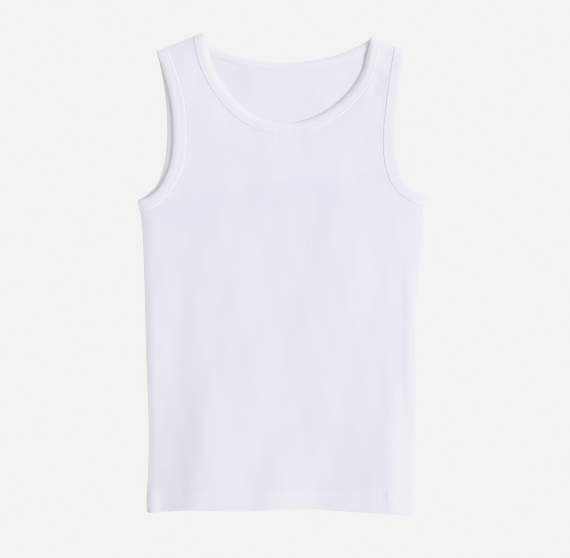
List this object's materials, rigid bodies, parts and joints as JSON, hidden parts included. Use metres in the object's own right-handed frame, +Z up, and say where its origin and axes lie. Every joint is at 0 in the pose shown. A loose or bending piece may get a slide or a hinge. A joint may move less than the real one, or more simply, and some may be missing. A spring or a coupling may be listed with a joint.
{
  "type": "tank top",
  "caption": "Child's sleeveless ribbed cotton tank top laid flat on its back, with a scooped neck, bound neck and armholes and a turned-up hem.",
  "frame": {"origin": "centre of the top's outline in plan, on the surface that it lies on", "axes": "+X to the right as seen from above, +Y from the hem to the neck, +Z up, away from the surface"},
  "size_m": [0.3026, 0.5026, 0.0064],
  "materials": {
    "rib_cloth": "matte white fine-rib cotton knit",
    "binding_cloth": "matte white fine-rib cotton knit, doubled and stitched"
  },
  "bodies": {
    "root": {"front_panel": "rib_cloth", "back_panel": "rib_cloth", "neck_binding": "binding_cloth", "armhole_binding_left": "binding_cloth", "armhole_binding_right": "binding_cloth"}
  },
  "joints": []
}
